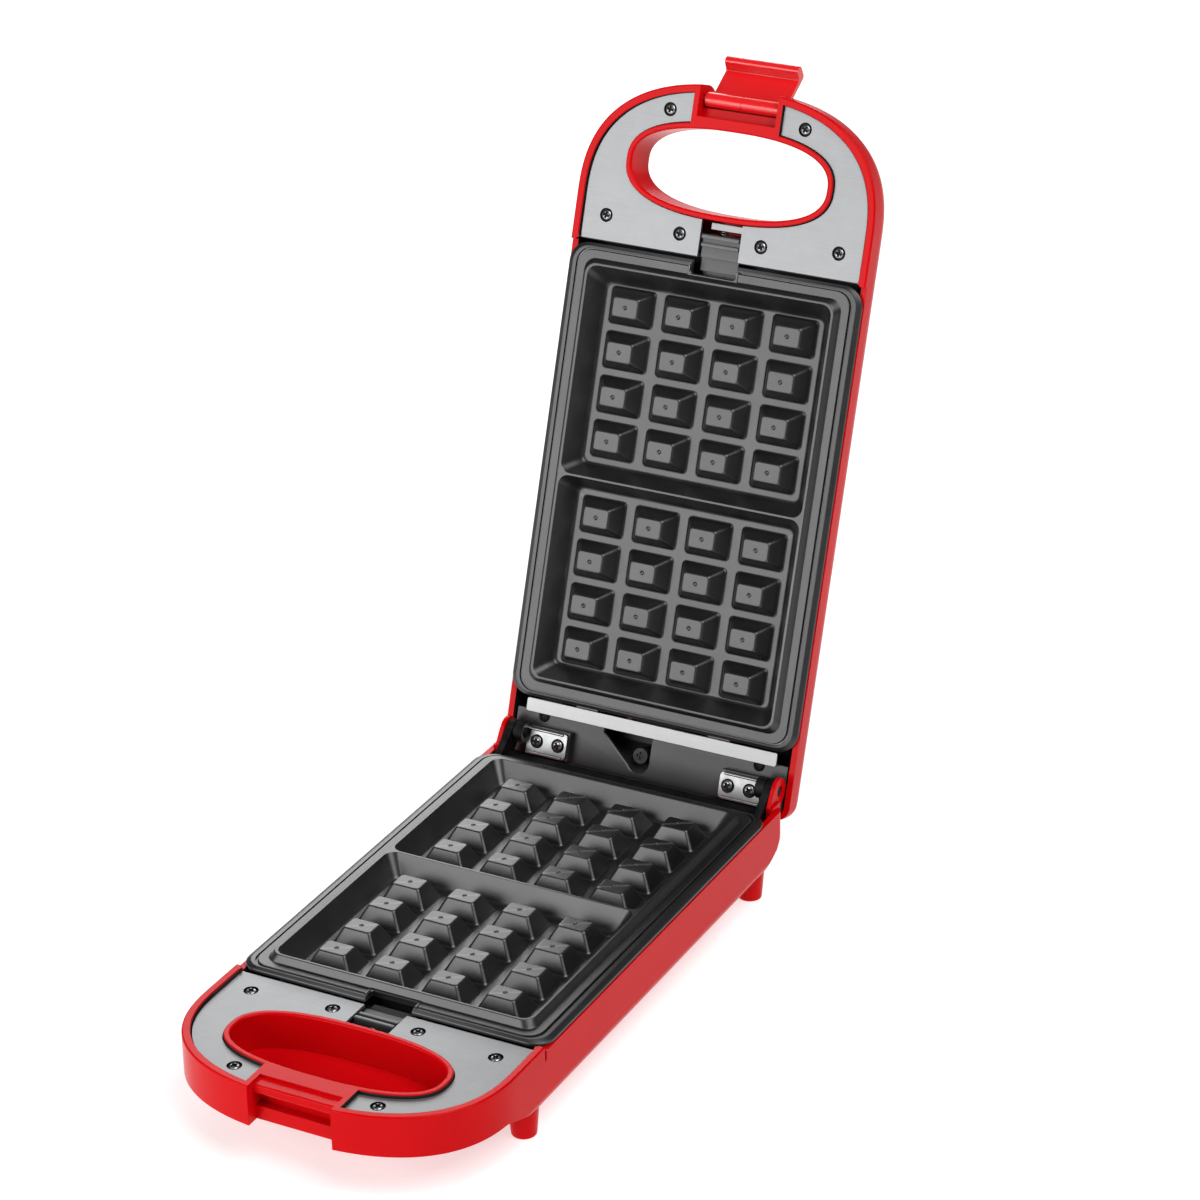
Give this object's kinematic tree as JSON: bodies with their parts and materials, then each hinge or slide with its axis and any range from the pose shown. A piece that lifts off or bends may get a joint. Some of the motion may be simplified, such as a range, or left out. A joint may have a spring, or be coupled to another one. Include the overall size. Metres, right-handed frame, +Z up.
{
  "type": "waffle maker",
  "caption": "Slim clamshell waffle maker standing open: hinged halves with dark gridded non-stick plates, oval carrying handles with brushed trims, and a swinging latch.",
  "frame": {"origin": "on the floor plane under the centre of the open waffle maker's bounding box", "axes": "+Z up, -Y towards the base handle, +X to the right of a person who faces the handle; the hinge axis runs along X"},
  "size_m": [0.1306, 0.3902, 0.3005],
  "materials": {
    "red_plastic": "glossy moulded red",
    "nonstick_aluminium": "satin dark grey non-stick coating",
    "black_plastic": "satin black heat-resistant plastic",
    "brushed_trim": "fine brushed sheet",
    "bright_sheet": "plain bright sheet",
    "steel": "plated steel",
    "zinc_steel": "plated screw steel",
    "black_steel": "blackened steel",
    "element_sheath": "heat-darkened sheath",
    "ceramic": "unglazed",
    "wire_sleeve": "woven glass sleeve",
    "red_lens": "clear red lens",
    "green_lens": "clear green lens"
  },
  "bodies": {
    "base": {"base_catch_guide": "black_plastic", "base_catch_spring": "steel", "base_harness": "wire_sleeve", "base_heating_element": "element_sheath", "base_hinge_arm_left": "black_steel", "base_hinge_arm_right": "black_steel", "base_hinge_screw_left": "zinc_steel", "base_hinge_screw_right": "zinc_steel", "base_housing": "red_plastic", "base_plate": "nonstick_aluminium", "base_plate_retainer": "black_steel", "base_rear_cover": "black_plastic", "base_reflector": "bright_sheet", "base_terminal_block": "ceramic", "base_thermal_fuse": "steel", "base_thermostat": "steel", "base_trim_left": "brushed_trim", "base_trim_right": "brushed_trim", "base_trim_screw_left_1": "zinc_steel", "base_trim_screw_left_2": "zinc_steel", "base_trim_screw_left_3": "zinc_steel", "base_trim_screw_right_1": "zinc_steel", "base_trim_screw_right_2": "zinc_steel", "base_trim_screw_right_3": "zinc_steel", "cord_gland": "black_plastic", "hinge_pin_left": "black_steel", "hinge_pin_right": "black_steel"},
    "lid": {"hinge_panel": "black_plastic", "latch_pin": "steel", "lid_catch_guide": "black_plastic", "lid_catch_spring": "steel", "lid_harness": "wire_sleeve", "lid_heating_element": "element_sheath", "lid_hinge_leaf_left": "steel", "lid_hinge_leaf_right": "steel", "lid_hinge_screw_left_1": "zinc_steel", "lid_hinge_screw_left_2": "zinc_steel", "lid_hinge_screw_right_1": "zinc_steel", "lid_hinge_screw_right_2": "zinc_steel", "lid_housing": "red_plastic", "lid_plate": "nonstick_aluminium", "lid_plate_retainer": "bright_sheet", "lid_reflector": "bright_sheet", "lid_thermostat": "steel", "lid_trim_left": "brushed_trim", "lid_trim_right": "brushed_trim", "lid_trim_screw_left_1": "zinc_steel", "lid_trim_screw_left_2": "zinc_steel", "lid_trim_screw_left_3": "zinc_steel", "lid_trim_screw_right_1": "zinc_steel", "lid_trim_screw_right_2": "zinc_steel", "lid_trim_screw_right_3": "zinc_steel", "panel_screw_left": "black_steel", "panel_screw_right": "black_steel", "power_lamp": "red_lens", "ready_lamp": "green_lens"},
    "latch": {"latch": "red_plastic"},
    "base_release": {"base_release_catch": "black_plastic"},
    "lid_release": {"lid_release_catch": "black_plastic"}
  },
  "joints": [
    {"name": "lid_hinge", "type": "hinge", "parent": "base", "child": "lid", "pos_m": [0, 0.07709, 0.039], "axis": [1, 0, 0], "range_deg": [0, 109.15]},
    {"name": "latch_pivot", "type": "hinge", "parent": "lid", "child": "latch", "pos_m": [0, 0.17348, 0.28764], "axis": [1, 0, 0], "range_deg": [0, 131]},
    {"name": "base_release_press", "type": "slide", "parent": "base", "child": "base_release", "axis": [0, -1, 0], "range_m": [0, 0.002], "stiffness_N_per_m": 400, "springref_m": -0.002, "deforming": ["base_catch_spring"]},
    {"name": "lid_release_press", "type": "slide", "parent": "lid", "child": "lid_release", "axis": [0, 0.328, 0.9447], "range_m": [0, 0.002], "stiffness_N_per_m": 400, "springref_m": -0.002, "deforming": ["lid_catch_spring"]}
  ]
}
